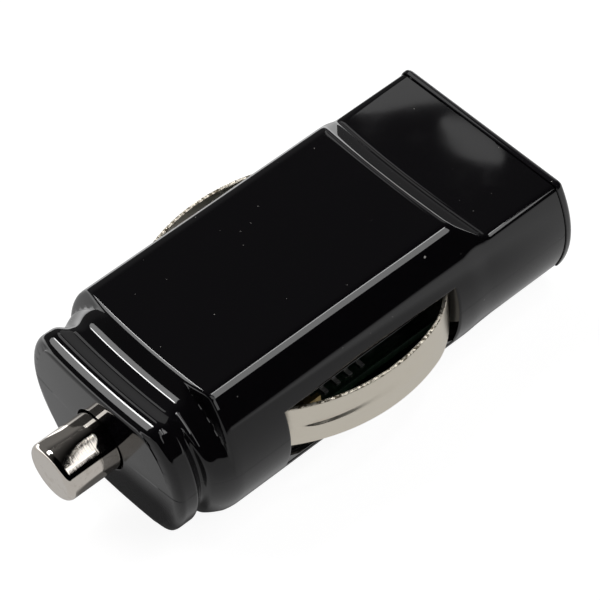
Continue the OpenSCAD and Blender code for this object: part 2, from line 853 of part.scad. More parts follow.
// Tinned leads of both capacitors, through the board
module capacitor_leads() {
    color("#c8c8c6") place()
        for (p = lead_places())
            translate([p[0], p[1], board_low])
                cylinder(r = lead_r, h = board_t + lead_gap + bung_l, $fn = 24);
}

// Moulded body of the converter chip, drafted to its middle
module converter_chip() {
    draft = 0.15;
    standoff = 0.1;
    x = chip_size[0] / 2;
    color("#1c1c1e") place()
        translate([chip_at[0], chip_at[1], board_z + standoff])
            across([
                [-x + draft, 0], [x - draft, 0], [x, chip_size[2] / 2], [x - draft, chip_size[2]],
                [-x + draft, chip_size[2]], [-x, chip_size[2] / 2]
            ], chip_size[1] / 2);
}

// Gull wing leads of the chip, four on each side
module chip_leads() {
    lead_t = 0.2;
    reach = 1.05;
    knee = 0.45;
    high = 0.1 + chip_size[2] / 2;
    color("#c8c8c6") place()
        for (side = [0, 180], i = [-1.5 : 1 : 1.5])
            translate([chip_at[0] + i * lead_pitch, chip_at[1], board_z])
                rotate([0, 0, side])
                    translate([0, chip_size[1] / 2, 0])
                        rotate([90, 0, 90])
                            linear_extrude(0.4, center = true)
                                polygon([
                                    [0, high - lead_t / 2], [knee - lead_t, high - lead_t / 2],
                                    [knee - lead_t, 0], [reach, 0], [reach, lead_t], [knee, lead_t],
                                    [knee, high + lead_t / 2], [0, high + lead_t / 2]
                                ]);
}

// Moulded body of the rectifier diode
module diode() {
    draft = 0.15;
    y = diode_size[1] / 2;
    color("#1c1c1e") place()
        translate([diode_at[0], diode_at[1], board_z + 0.2])
            rotate([90, 0, 90])
                linear_extrude(diode_size[0], center = true)
                    polygon([
                        [-y + draft, 0], [y - draft, 0], [y, diode_size[2] / 2], [y - draft, diode_size[2]],
                        [-y + draft, diode_size[2]], [-y, diode_size[2] / 2]
                    ]);
}

// Folded ends of the diode, from its middle down and under it
module diode_leads() {
    lead_t = 0.2;
    out = diode_size[1] / 2;
    high = 0.2 + diode_size[2] / 2;
    color("#c8c8c6") place()
        for (side = [0, 180])
            translate([diode_at[0], diode_at[1], board_z])
                rotate([0, 0, side])
                    rotate([90, 0, 90])
                        linear_extrude(1, center = true)
                            polygon([
                                [out, high], [out + lead_t, high], [out + lead_t, 0],
                                [out - 0.6, 0], [out - 0.6, lead_t], [out, lead_t]
                            ]);
}

// Ceramic middle of a chip part
module chip_body(at, size) {
    translate([at[0], at[1], board_z + size[2] / 2])
        cube([size[0] - 2 * terminal_w, size[1], size[2]], center = true);
}

// Tinned ends of a chip part
module chip_ends(at, size) {
    for (side = [-1, 1])
        translate([at[0] + side * (size[0] - terminal_w) / 2, at[1], board_z + size[2] / 2])
            cube([terminal_w, size[1], size[2]], center = true);
}

module chip_resistors() {
    color("#222326") place() for (p = resistor_at) chip_body(p, resistor_size);
}

module chip_capacitors() {
    color("#a78a5e") place() for (p = capacitor_at) chip_body(p, capacitor_size);
}

module chip_terminals() {
    color("#c8c8c6") place() {
        for (p = resistor_at) chip_ends(p, resistor_size);
        for (p = capacitor_at) chip_ends(p, capacitor_size);
    }
}

upper_shell();
lower_shell();
end_cap();
centre_pin();
pin_spring();
spring_terminal();
side_contact_near();
side_contact_far();
contact_tab_near();
contact_tab_far();
circuit_board();
usb_shell();
usb_insulator();
usb_contacts();
ferrite_core();
choke_winding();
input_capacitor();
output_capacitor();
capacitor_bungs();
capacitor_leads();
converter_chip();
chip_leads();
diode();
diode_leads();
chip_resistors();
chip_capacitors();
chip_terminals();
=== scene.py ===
import math

import bmesh
import bpy
import numpy as np
from mathutils import Matrix, Vector


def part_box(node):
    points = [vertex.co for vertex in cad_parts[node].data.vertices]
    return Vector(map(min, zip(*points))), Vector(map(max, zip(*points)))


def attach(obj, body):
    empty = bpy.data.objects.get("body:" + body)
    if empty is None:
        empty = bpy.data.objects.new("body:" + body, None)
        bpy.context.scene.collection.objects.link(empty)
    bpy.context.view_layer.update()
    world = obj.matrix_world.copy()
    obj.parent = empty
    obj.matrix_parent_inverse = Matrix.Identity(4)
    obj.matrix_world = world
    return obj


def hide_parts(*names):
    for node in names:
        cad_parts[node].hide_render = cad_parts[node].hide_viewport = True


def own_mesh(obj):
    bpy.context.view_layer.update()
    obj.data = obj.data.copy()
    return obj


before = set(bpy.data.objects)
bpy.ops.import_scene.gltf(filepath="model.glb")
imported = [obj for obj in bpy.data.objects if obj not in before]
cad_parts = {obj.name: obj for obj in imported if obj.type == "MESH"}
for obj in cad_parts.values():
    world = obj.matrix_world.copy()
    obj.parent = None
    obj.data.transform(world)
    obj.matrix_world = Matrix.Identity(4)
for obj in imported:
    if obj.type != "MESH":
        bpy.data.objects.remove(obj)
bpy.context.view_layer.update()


# The plug lies on its lower flat on white card and is seen from its nose end, from above.
# Sizes are in millimetres from the tip of the centre pin, on the pin's axis, and at() turns
# such a place into the frame's metres.
MM = 0.001
PLUG_L = 45.9
LABEL_H = 7.08

VIEW_TARGET = (12.73, -17.07, 24.74)
VIEW_AZIMUTH = math.radians(-36.688)
VIEW_ELEVATION = math.radians(49.717)
VIEW_ROLL = math.radians(-5.906)
VIEW_DISTANCE = 208.68
VIEW_LENS = 181.72


def at(x, y, z):
    """Place in the frame, in metres, of millimetres from the pin's tip."""
    return Vector(((x - PLUG_L / 2) * MM, y * MM, (z + LABEL_H) * MM))


def look_from_nose():
    """Camera at the photograph's place and lens."""
    back = Vector((
        math.sin(VIEW_AZIMUTH) * math.cos(VIEW_ELEVATION),
        -math.cos(VIEW_AZIMUTH) * math.cos(VIEW_ELEVATION),
        math.sin(VIEW_ELEVATION),
    ))
    level = Vector((math.cos(VIEW_AZIMUTH), math.sin(VIEW_AZIMUTH), 0))
    upright = back.cross(level)
    right = level * math.cos(VIEW_ROLL) + upright * math.sin(VIEW_ROLL)
    up = back.cross(right)
    camera_data = bpy.data.cameras.new("camera")
    camera_data.lens = VIEW_LENS
    camera_data.clip_start = 0.01
    camera = bpy.data.objects.new("camera", camera_data)
    turn = Matrix((right, up, back)).transposed().to_4x4()
    place = at(*VIEW_TARGET) + back * VIEW_DISTANCE * MM
    camera.matrix_world = Matrix.Translation(place) @ turn
    bpy.context.scene.collection.objects.link(camera)
    bpy.context.scene.camera = camera


look_from_nose()


# The housing is two injection-moulded shells in glossy black plastic, closed at a joint level
# with the pin. Their sides are round about the pin's axis, and flats above and below cut them:
# nose, valley and raised flat, whose edges bow forward, and the lower head behind. A scoop carries
# the valley over the upper corners, and a narrow groove runs round the rest of the sides.
FACE_X = 4.95
LAND_X = 6.0
CREST_X = 7.0
FALL_X = 6.1
GROOVE_X = 7.95
LABEL_X = 10.43
HOLLOW_X = 11.6
MIDDLE_X = 20
STEP_X = 34.9
HEAD_X = 37.2
CAP_X = 45.1
WINDOW = (15.7, 33.4)
WINDOW_UP = 2.75
WINDOW_DOWN = 4.3

NOSE_ROUND = 1.05
SIDE_SET = 0.35
NOSE_R, NOSE_H = 9.12, 6.2
GROOVE_R = 8.6
SHOULDER_X, SHOULDER_R, SHOULDER_TURN = 11.0, 4.0, math.radians(40)
VALLEY_X, VALLEY_H = 7.9, 5.77
COVE_X, COVE_R, COVE_TURN = 8.69, 0.84, math.radians(48.6)
SCOOP_DOWN, SCOOP_R, SCOOP_SOFT = 2.6, 10.19, 0.28
SCOOP_FROM, SCOOP_LOW, SCOOP_TO = FALL_X + 0.3, COVE_X - 0.2, LABEL_X - 0.31
SCOOP_FRONT, SCOOP_REAR, SCOOP_FLARE = 0.95, 0.5, 3.0
BROW_R = 0.45
BODY_R = 10.2
HEAD_R, HEAD_H = 10.1, 4.82
NOSE_BOW, NOSE_BOW_FADE = 1 / (2 * 91), (11.0, 15.2)
STEP_BOW, STEP_BOW_RISE, STEP_BOW_FADE = 1 / (2 * 120), (33.9, 34.6), (38, 42)
EDGE_SOFT = 0.5
STEP_SOFT = 0.35
CROWN, CROWN_REAR, CROWN_RISE = 0.06, 1.8, (24, 32)
WALL = 1.2
MOUTH_R, BORE_R = 2.775, 2.635
MOUTH_D, MOUTH_EDGE = 0.9, 0.07
BORE_END = 7.4
CAP_TUCK = 0.05
SEAM_D = 0.05
SEAM_SIDE = 0.4
WINDOW_ROUND = 0.16

# How finely the skin is drawn: its rows along the plug and its columns round it
ROW_STEP, FINE_STEP = 0.07, 0.025
BROW_ROWS = (LABEL_X - 0.35, LABEL_X + 0.2)
FLAT_ROWS, BACK_ROW = (LABEL_X + 0.22, LABEL_X + 1.2), LABEL_X + 1.4
STEP_ROWS, HEAD_ROWS = (34.4, 37.9), (38, CAP_X - 0.12)
LIP, LIP_TURN = 0.28, 0.026
SILL_COLUMN = 12
CORNER_TURN = math.radians(5)
FACE_PARTS = (0.0, 0.04, 0.15, 0.3, 0.45, 0.6, 0.75, 0.88, 0.97)
SETTLE = 12


def share_of(x, low, high):
    """How far x has come from low to high, from 0 to 1."""
    return np.clip((x - low) / (high - low), 0, 1)


def soft_min(a, b, soft):
    """The lower of a and b, rounded off where they are nearly equal."""
    near = np.clip(1 - np.abs(a - b) / soft, 0, 1)
    return np.minimum(a, b) - soft * near ** 2 / 4


def soft_max(a, b, soft):
    """The higher of a and b, rounded off where they are nearly equal."""
    return -soft_min(-a, -b, soft)


def eased(x, stations):
    """Value at x on a curve that is level at each station (place, value)."""
    places = np.array([s[0] for s in stations])
    values = np.array([s[1] for s in stations])
    i = np.clip(np.searchsorted(places, x) - 1, 0, len(places) - 2)
    part = np.clip((x - places[i]) / (places[i + 1] - places[i]), 0, 1)
    return values[i] + (values[i + 1] - values[i]) * (1 - np.cos(np.pi * part)) / 2


def quarter_round(part):
    """Rise, from 0 to 1, of a quarter circle over a part from 0 to 1 of its length."""
    return np.sqrt(1 - (1 - np.clip(part, 0, 1)) ** 2)


def side_radius(x):
    """Radius of the round sides at x."""
    part = (x - FACE_X - SIDE_SET) / (NOSE_ROUND - SIDE_SET)
    front = NOSE_R - NOSE_ROUND * (1 - quarter_round(part))
    foot_x = SHOULDER_X - SHOULDER_R * math.sin(SHOULDER_TURN)
    foot_r = BODY_R - SHOULDER_R * (1 - math.cos(SHOULDER_TURN))
    groove = eased(x, [(LAND_X, NOSE_R), (CREST_X, NOSE_R), (GROOVE_X, GROOVE_R)])
    part = share_of(x, GROOVE_X, foot_x)
    rise, end = foot_r - GROOVE_R, math.tan(SHOULDER_TURN) * (foot_x - GROOVE_X)
    wall = GROOVE_R + (3 * rise - end) * part ** 2 + (end - 2 * rise) * part ** 3
    over = np.clip(SHOULDER_X - x, 0, SHOULDER_X - foot_x)
    shoulder = BODY_R - SHOULDER_R + np.sqrt(SHOULDER_R ** 2 - over ** 2)
    rear = eased(x, [(STEP_X, BODY_R), (HEAD_X, HEAD_R), (CAP_X, HEAD_R)])
    before = [x < LAND_X, x < GROOVE_X, x < foot_x, x < STEP_X]
    return np.select(before, [front, groove, wall, shoulder], rear)


def scoop_radius(x, angle):
    """Distance from the pin's axis to the scoop, which is turned about an axis below that one."""
    ends = [(SCOOP_FROM, SCOOP_R + SCOOP_FRONT), (SCOOP_LOW, SCOOP_R), (SCOOP_TO, SCOOP_R + SCOOP_REAR)]
    past = np.clip(x - SCOOP_TO, 0, 2) + np.clip(SCOOP_FROM - x, 0, 2)
    r = eased(x, ends) + SCOOP_FLARE * past
    return np.sqrt(r ** 2 - (SCOOP_DOWN * np.cos(angle)) ** 2) - SCOOP_DOWN * np.sin(angle)


def flat_height(x):
    """Height of the flats over the pin's axis, at x on the plug's middle line."""
    front = NOSE_H - NOSE_ROUND * (1 - quarter_round((x - FACE_X) / NOSE_ROUND))
    fall = eased(x, [(FALL_X, NOSE_H), (VALLEY_X, VALLEY_H), (COVE_X, VALLEY_H)])
    foot, brow = COVE_R * math.sin(COVE_TURN), BROW_R * math.sin(COVE_TURN)
    hollow = COVE_R - np.sqrt(np.maximum(COVE_R ** 2 - np.clip(x - COVE_X, 0, foot) ** 2, 0))
    straight = math.tan(COVE_TURN) * np.clip(x - COVE_X - foot, 0, LABEL_X - COVE_X - foot - brow)
    over = np.sqrt(np.maximum(BROW_R ** 2 - np.clip(LABEL_X - x, 0, brow) ** 2, 0))
    nose = np.minimum(front, fall) + hollow + straight + over - BROW_R * math.cos(COVE_TURN)
    slope = LABEL_H - (x - STEP_X) * (LABEL_H - HEAD_H) / (HEAD_X - STEP_X)
    head = soft_max(soft_min(slope, LABEL_H, STEP_SOFT), HEAD_H, STEP_SOFT)
    return np.where(x < MIDDLE_X, np.minimum(nose, LABEL_H), head)


def row_bow(x):
    """How far back, for each square millimetre of y, a row of the skin bows."""
    nose = 1 - share_of(x, *NOSE_BOW_FADE)
    step = share_of(x, *STEP_BOW_RISE) * (1 - share_of(x, *STEP_BOW_FADE))
    return NOSE_BOW * nose + STEP_BOW * step


def skin_rows():
    """Places of the skin's rows along the middle line, close together at the valley and the step."""
    return np.concatenate([
        FACE_X + NOSE_ROUND * (1 - np.cos(np.linspace(0, np.pi / 2, 14)[:-1])),
        np.arange(LAND_X, BROW_ROWS[0], ROW_STEP), np.arange(*BROW_ROWS, FINE_STEP),
        np.arange(*FLAT_ROWS, ROW_STEP), np.linspace(BACK_ROW, WINDOW[0] - LIP, 10), [WINDOW[0]],
        np.linspace(WINDOW[0] + LIP, WINDOW[1] - LIP, 14), [WINDOW[1]],
        np.linspace(WINDOW[1] + LIP, STEP_ROWS[0], 4)[:-1], np.arange(*STEP_ROWS, 0.1),
        np.linspace(*HEAD_ROWS, 12), [CAP_X - CAP_TUCK, CAP_X],
    ])


def round_outline(x, angle, scooped):
    """Distance from the pin's axis to the round sides, with the scoop on the upper shell."""
    r = side_radius(x)
    return soft_min(r, scoop_radius(x, angle), SCOOP_SOFT) if scooped else r


def skin_angles(x, window_h, scooped):
    """Angles up from the side at which a row at x is drawn, from the joint to the middle."""
    corner = np.array([0.7])
    for _ in range(SETTLE):
        outline = round_outline(np.array([x]), corner, scooped)
        corner = np.arcsin(np.clip(flat_height(x) / outline, 0, 0.99))
    low, high = corner[0] - CORNER_TURN, corner[0] + CORNER_TURN
    sill = min(math.asin(window_h / BODY_R), 0.8 * low)
    groove = SEAM_D / BODY_R
    seam = [0, groove, 2.2 * groove]
    return np.concatenate([
        seam, np.linspace(0.05, sill - LIP_TURN, SILL_COLUMN - len(seam)), [sill],
        np.linspace(sill + LIP_TURN, low, 26), np.linspace(low, high, 17)[1:],
        np.linspace(high, np.pi / 2, 26)[1:],
    ])


def to_far_side(angles):
    """The same angles, and then their mirror images on the far side."""
    return np.concatenate([angles, np.pi - angles[-2::-1]])


def skin_row(x, angle, scooped):
    """Points of one row of the skin, as x and distance from the axis."""
    r = side_radius(np.full_like(angle, x))
    middle = flat_height(np.array([x]))[0]
    bow = row_bow(x)
    crown = CROWN_REAR * share_of(x, *CROWN_RISE) - (CROWN_REAR - 1) * share_of(x, STEP_X, STEP_X + 4)
    crown = CROWN * crown / HEAD_R ** 2
    for _ in range(SETTLE):
        off = (r * np.cos(angle)) ** 2
        flat = (middle - crown * off) / np.maximum(np.sin(angle), 1e-6)
        r = soft_min(round_outline(x + bow * off, angle, scooped), flat, EDGE_SOFT)
    return x + bow * (r * np.cos(angle)) ** 2, r


def shell_points(window_h, scooped):
    """Rows of points (x, radius, angle) of one shell: its bore, face and skin, near to far side."""
    rows = []
    both = to_far_side(skin_angles(FACE_X, window_h, scooped))
    edge_r = skin_row(FACE_X, both, scooped)[1]
    for x, r in ((BORE_END, BORE_R), (FACE_X + MOUTH_D, BORE_R), (FACE_X + MOUTH_D, MOUTH_R),
                 (FACE_X + 0.1, MOUTH_R), (FACE_X + 0.03, MOUTH_R + 0.02)):
        rows.append((np.full_like(both, x), np.full_like(both, r), both))
    for part in FACE_PARTS:
        r = MOUTH_R + MOUTH_EDGE + (edge_r - MOUTH_R - MOUTH_EDGE) * part
        place = FACE_X + NOSE_BOW * (r * np.cos(both)) ** 2
        place[[0, -1]] += SEAM_D
        rows.append((place, r, both))
    face_rows = len(rows)
    for x in skin_rows():
        both = to_far_side(skin_angles(x, window_h, scooped))
        place, r = skin_row(x, both, scooped)
        front = np.clip((LAND_X - x) / NOSE_ROUND, 0, 1)
        r[[0, -1]] -= SEAM_D * SEAM_SIDE * (1 - front)
        place[[0, -1]] += SEAM_D * front
        if x >= CAP_X:
            r -= CAP_TUCK
        rows.append((place, r, both))
    return rows, face_rows


def add_mesh(name, verts, faces):
    """New object with a smooth mesh, its faces turned outward."""
    mesh = bpy.data.meshes.new(name)
    mesh.from_pydata([tuple(v) for v in verts], [], faces)
    body = bmesh.new()
    body.from_mesh(mesh)
    bmesh.ops.recalc_face_normals(body, faces=body.faces)
    body.to_mesh(mesh)
    body.free()
    mesh.polygons.foreach_set("use_smooth", [True] * len(mesh.polygons))
    piece = bpy.data.objects.new(name, mesh)
    bpy.context.scene.collection.objects.link(piece)
    return piece


def sharpen(piece, degrees):
    """Keeps the mesh's edges crisp where its faces turn by more than an angle."""
    piece.data.set_sharp_from_angle(angle=math.radians(degrees))


def moulded_shell(name, up, window_h):
    """One shell: skin, wall round its windows and the rounded edge of each window."""
    rows, face_rows = shell_points(window_h, scooped=up > 0)
    columns = len(rows[0][2])
    sill = SILL_COLUMN
    verts = []

    def add_row(place, r, angle):
        verts.extend(at(x, -d * math.cos(a), up * d * math.sin(a)) for x, d, a in zip(place, r, angle))

    for place, r, angle in rows:
        add_row(place, r, angle)
    skin_x = skin_rows()
    first = face_rows + int(np.argmin(np.abs(skin_x - WINDOW[0])))
    last = face_rows + int(np.argmin(np.abs(skin_x - WINDOW[1])))
    inner_from = face_rows + int(np.argmax(skin_x > HOLLOW_X))
    inner = {}
    for i in range(inner_from, len(rows)):
        inner[i] = len(verts)
        place, r, angle = rows[i]
        add_row(place, r - WALL, angle)

    def open_cell(i, j):
        return first <= i < last and (j < sill or j >= columns - 1 - sill)

    faces = []
    for i in range(len(rows) - 1):
        for j in range(columns - 1):
            if open_cell(i, j):
                continue
            a, b = i * columns + j, (i + 1) * columns + j
            faces.append((a, b, b + 1, a + 1))
            if i in inner:
                a, b = inner[i] + j, inner[i + 1] + j
                faces.append((a, a + 1, b + 1, b))
    rim = []
    for near, far in ((0, sill), (columns - 1, columns - 1 - sill)):
        low, high = min(near, far), max(near, far)
        rim += [(i, far, i + 1, far) for i in range(first, last)]
        rim += [(i, j, i, j + 1) for i in (first, last) for j in range(low, high)]
    for i, j, k, m in rim:
        faces.append((i * columns + j, k * columns + m, inner[k] + m, inner[i] + j))
    last_row = len(rows) - 1
    for j in range(columns - 1):
        a = last_row * columns + j
        faces.append((a, a + 1, inner[last_row] + j + 1, inner[last_row] + j))
    piece = add_mesh(name, verts, faces)

    body = bmesh.new()
    body.from_mesh(piece.data)
    body.verts.ensure_lookup_table()
    ends = [(body.verts[i * columns + j], body.verts[k * columns + m]) for i, j, k, m in rim]
    edges = [edge for edge in map(body.edges.get, ends) if edge]
    bmesh.ops.bevel(body, geom=edges, offset=WINDOW_ROUND * MM, segments=3,
                    profile=0.5, affect="EDGES", clamp_overlap=True)
    body.to_mesh(piece.data)
    body.free()
    piece.data.polygons.foreach_set("use_smooth", [True] * len(piece.data.polygons))
    sharpen(piece, 42)
    return piece


class Link:
    """What a node gives: sums, differences, products and powers of it add Math nodes."""

    def __init__(self, finish, socket):
        self.finish = finish
        self.socket = socket

    def math(self, operation, *values):
        return self.finish.node("ShaderNodeMath", {"operation": operation}, dict(enumerate(values)))

    def __add__(self, other):
        return self.math("ADD", self, other)

    __radd__ = __add__

    def __sub__(self, other):
        return self.math("SUBTRACT", self, other)

    def __rsub__(self, other):
        return self.math("SUBTRACT", other, self)

    def __mul__(self, other):
        return self.math("MULTIPLY", self, other)

    __rmul__ = __mul__

    def __pow__(self, other):
        return self.math("POWER", self, other)

    def __lt__(self, other):
        return self.math("LESS_THAN", self, other)

    def ramp(self, low, high):
        """0 below low, 1 above high, and level at both."""
        return self.finish.node("ShaderNodeMapRange", {"interpolation_type": "SMOOTHSTEP"}, {
            "Value": self, "From Min": low, "From Max": high,
        })


class Finish:
    """The nodes of a material, or of the world."""

    def __init__(self, name, owner=None):
        self.owner = owner or bpy.data.materials.new(name)
        self.owner.use_nodes = True
        self.tree = self.owner.node_tree
        self.tree.nodes.clear()

    def node(self, kind, settings=None, inputs=None, output=0):
        """Adds a node with its settings and then its sockets' values, and returns one output."""
        node = self.tree.nodes.new(kind)
        for key, value in (settings or {}).items():
            setattr(node, key, value)
        for key, value in (inputs or {}).items():
            if isinstance(value, Link):
                self.tree.links.new(value.socket, node.inputs[key])
            else:
                node.inputs[key].default_value = value
        return Link(self, node.outputs[output]) if node.outputs else None

    def place(self, stretch=(1, 1, 1)):
        """Position on the object, in millimetres, stretched along its axes."""
        where = self.node("ShaderNodeTexCoord", output="Object")
        scale = tuple(s / MM for s in stretch)
        return self.node("ShaderNodeVectorMath", {"operation": "MULTIPLY"}, {0: where, 1: scale})

    def noise(self, scale, detail=3, stretch=(1, 1, 1)):
        """Noise whose patches are about 1/scale millimetres across."""
        return self.node("ShaderNodeTexNoise", None, {
            "Vector": self.place(stretch), "Scale": scale, "Detail": detail,
        })

    def mix(self, factor, first, second):
        """Colour between two colours."""
        return self.node("ShaderNodeMix", {"data_type": "RGBA"}, {
            "Factor": factor, "A": first, "B": second,
        }, output="Result")

    def bump(self, height, distance, strength=1.0, under=None):
        """Normal that height raises by distance, in millimetres."""
        inputs = {"Height": height, "Distance": distance * MM, "Strength": strength}
        if under:
            inputs["Normal"] = under
        return self.node("ShaderNodeBump", None, inputs)

    def surface(self, shader):
        """Ends the material, or the world, in a shader."""
        is_world = isinstance(self.owner, bpy.types.World)
        kind = "ShaderNodeOutputWorld" if is_world else "ShaderNodeOutputMaterial"
        self.node(kind, None, {"Surface": shader})
        return self.owner

    def plain(self, **sockets):
        """Ends the material in a Principled shader with these sockets."""
        inputs = {key.replace("_", " "): value for key, value in sockets.items()}
        return self.surface(self.node("ShaderNodeBsdfPrincipled", None, inputs))


def grey(value, warmth=0.0):
    """Colour of a grey, warmer or cooler."""
    return (value * (1 + warmth), value, value * (1 - warmth), 1)


# Dust and lint: cells a millimetre, the share of them with a speck, and the specks' size
DUST = (0.9, 0.06, 0.11)
LINT = (2.6, 0.03, 0.13)
WAVE = 0.012


def specks(finish, scale, share, size):
    """Mask of small round specks of dust, on a share of the cells of a grid of 1/scale mm."""
    where = finish.place()
    cell, distance = [
        finish.node("ShaderNodeTexVoronoi", None, {"Vector": where, "Scale": scale}, output=output)
        for output in ("Color", "Distance")
    ]
    pick = finish.node("ShaderNodeSeparateColor", None, {"Color": cell})
    radius = pick * (size / share)
    return (distance < radius) * (pick < share)


def gloss_black(name, base):
    """Polished black moulding: faint waves from cooling, fine haze and a little dust."""
    finish = Finish(name)
    dust = specks(finish, *DUST)
    lint = specks(finish, *LINT)
    mask = dust.math("MAXIMUM", dust, lint * 0.6)
    haze = finish.noise(0.35, 4)
    colour = finish.mix(mask, (base, base * 0.9, base * 1.12, 1), grey(0.5, 0.05))
    rough = 0.035 + haze.ramp(0.45, 0.8) * 0.03 + mask * 0.4
    waves = finish.bump(finish.noise(0.16, 1), WAVE)
    return finish.plain(Base_Color=colour, Roughness=rough, Normal=waves, IOR=1.5)


def dress(piece, finish, body, *nodes):
    """Gives a piece its finish and its body, and lets it stand for CAD nodes."""
    piece.data.materials.clear()
    piece.data.materials.append(finish)
    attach(piece, body)
    if nodes:
        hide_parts(*nodes)
    return piece


shell_black = gloss_black("shell_black", 0.005)
upper = dress(moulded_shell("upper_shell_skin", 1, WINDOW_UP), shell_black, "housing", "upper_shell")
lower = dress(moulded_shell("lower_shell_skin", -1, WINDOW_DOWN), shell_black, "housing", "lower_shell")


# The end cap is a moulded plate of the same black plastic, snapped into the head. Its rim stands
# a hair proud of the shells, so a fine line shows round the head, and it frames the USB socket.
CAP_PROUD = 0.12
CAP_R, CAP_H = HEAD_R + CAP_PROUD, HEAD_H + CAP_PROUD
CAP_ROUND, CAP_SOFT, CAP_EDGE = 0.5, 0.3, 0.06
PORT_W, PORT_H, PORT_R = 12.7, 5.2, 0.4
PORT_DEPTH, PORT_EDGE = 2.3, 0.14
PORT_SIDE, PORT_TURN = 0.4, 0.6


def cap_outline(angle, r, h):
    """Distance from the axis to the cap's edge."""
    folded = np.abs(np.sin(angle))
    return soft_min(np.full_like(angle, r), h / np.maximum(folded, 1e-6), CAP_SOFT)


def port_outline(part):
    """Point on the port's rounded edge, for a part from 0 to 1 of the way from side to middle."""
    corner_w, corner_h = PORT_W / 2 - PORT_R, PORT_H / 2 - PORT_R
    if part < PORT_SIDE:
        return PORT_W / 2, corner_h * part / PORT_SIDE
    if part < PORT_TURN:
        turn = share_of(part, PORT_SIDE, PORT_TURN) * math.pi / 2
        return corner_w + PORT_R * math.cos(turn), corner_h + PORT_R * math.sin(turn)
    return corner_w * (1 - share_of(part, PORT_TURN, 1)), PORT_H / 2


def end_plate():
    """The cap: rim with a rounded edge, back face and the sides of the port."""
    corner = math.asin(CAP_H / CAP_R)
    low, high = corner - 0.08, corner + 0.08
    quarter, parts = [
        np.concatenate([np.linspace(a, b, 9)[:-1], np.linspace(b, c, 9)[:-1], np.linspace(c, d, 15)])
        for a, b, c, d in ((0, low, high, math.pi / 2), (0, PORT_SIDE, PORT_TURN, 1))
    ]
    angle = np.concatenate([quarter, math.pi - quarter[-2:0:-1]])
    angle = np.concatenate([angle, angle + math.pi])
    port = [port_outline(p) for p in parts]
    half = port + [(-y, z) for y, z in port[-2:0:-1]]
    port = half + [(-y, -z) for y, z in half]
    rings = []
    rim = [(CAP_X, CAP_EDGE), (CAP_X + CAP_EDGE, 0.0)]
    rim += [
        (PLUG_L - CAP_ROUND + CAP_ROUND * math.sin(t), CAP_ROUND * (1 - math.cos(t)))
        for t in np.linspace(0, math.pi / 2, 8)
    ]
    for x, inset in rim:
        outline = cap_outline(angle, CAP_R - inset, CAP_H - inset)
        rings.append([(x, r * math.cos(a), r * math.sin(a)) for r, a in zip(outline, angle)])
    outer = rings[-1]
    for part, x in ((0.08, 0), (0.5, 0), (0.93, 0), (1.0, -PORT_EDGE), (1.0, -PORT_DEPTH)):
        ring = []
        for (_, oy, oz), (py, pz) in zip(outer, port):
            ring.append((PLUG_L + x, oy + (py - oy) * part, oz + (pz - oz) * part))
        rings.append(ring)
    verts = [at(*p) for ring in rings for p in ring]
    n = len(port)
    faces = [
        (i * n + j, i * n + (j + 1) % n, (i + 1) * n + (j + 1) % n, (i + 1) * n + j)
        for i in range(len(rings) - 1) for j in range(n)
    ]
    piece = add_mesh("end_cap_plate", verts, faces)
    sharpen(piece, 40)
    return piece


cap_piece = dress(end_plate(), gloss_black("cap_black", 0.008), "housing", "end_cap")


# The centre pin is turned from brass and nickel plated, with a rounded edge round its flat tip.
# It slides in the nose's bore, and its flange inside stops it.
PIN_R = 2.575
PIN_EDGE = 0.5
FLANGE_X, FLANGE_END, FLANGE_R = 7.4, 8.2, 3.4
BOSS_END, BOSS_R, BOSS_EDGE = 9.8, 1.3, 0.2


def turned(name, profile, sides=160):
    """Lathe work about the pin's axis, from a profile of (x, radius) that starts on the axis."""
    verts, faces = [at(profile[0][0], 0, 0)], []
    for x, r in profile[1:]:
        verts += [
            at(x, r * math.cos(2 * math.pi * k / sides), r * math.sin(2 * math.pi * k / sides))
            for k in range(sides)
        ]
    faces += [(0, 1 + k, 1 + (k + 1) % sides) for k in range(sides)]
    for i in range(len(profile) - 2):
        a, b = 1 + i * sides, 1 + (i + 1) * sides
        faces += [(a + k, b + k, b + (k + 1) % sides, a + (k + 1) % sides) for k in range(sides)]
    verts.append(at(profile[-1][0], 0, 0))
    a = 1 + (len(profile) - 2) * sides
    faces += [(a + k, len(verts) - 1, a + (k + 1) % sides) for k in range(sides)]
    piece = add_mesh(name, verts, faces)
    sharpen(piece, 40)
    return piece


def nickel_plate(name):
    """Bright nickel over turned metal: faint turning rings, a few stains and soft wear."""
    finish = Finish(name)
    rings = finish.noise(9, 2, (1, 0.02, 0.02))
    stains = finish.noise(1.6, 5)
    pits = specks(finish, 3.2, 0.05, 0.1)
    colour = finish.mix(stains.ramp(0.5, 0.8), (0.80, 0.745, 0.68, 1), (0.70, 0.64, 0.57, 1))
    rough = 0.05 + stains.ramp(0.4, 0.8) * 0.04 + pits * 0.3
    surface = finish.bump(rings, 0.004, 0.5)
    return finish.plain(Base_Color=colour, Metallic=1.0, Roughness=rough, Normal=surface)


pin_profile = [(0, 0), (0, PIN_R - PIN_EDGE - 0.05), (0, PIN_R - PIN_EDGE)]
pin_profile += [
    (PIN_EDGE * (1 - math.cos(t)), PIN_R - PIN_EDGE + PIN_EDGE * math.sin(t))
    for t in np.linspace(0.15, math.pi / 2, 9)
]
pin_profile += [
    (PIN_EDGE, PIN_R), (2.5, PIN_R), (FLANGE_X - 0.05, PIN_R), (FLANGE_X, PIN_R),
    (FLANGE_X, FLANGE_R), (FLANGE_END, FLANGE_R), (FLANGE_END, BOSS_R),
    (BOSS_END - BOSS_EDGE, BOSS_R), (BOSS_END, BOSS_R - BOSS_EDGE), (BOSS_END, 0),
]
pin = dress(turned("pin_turned", pin_profile), nickel_plate("pin_nickel"), "pin", "centre_pin")


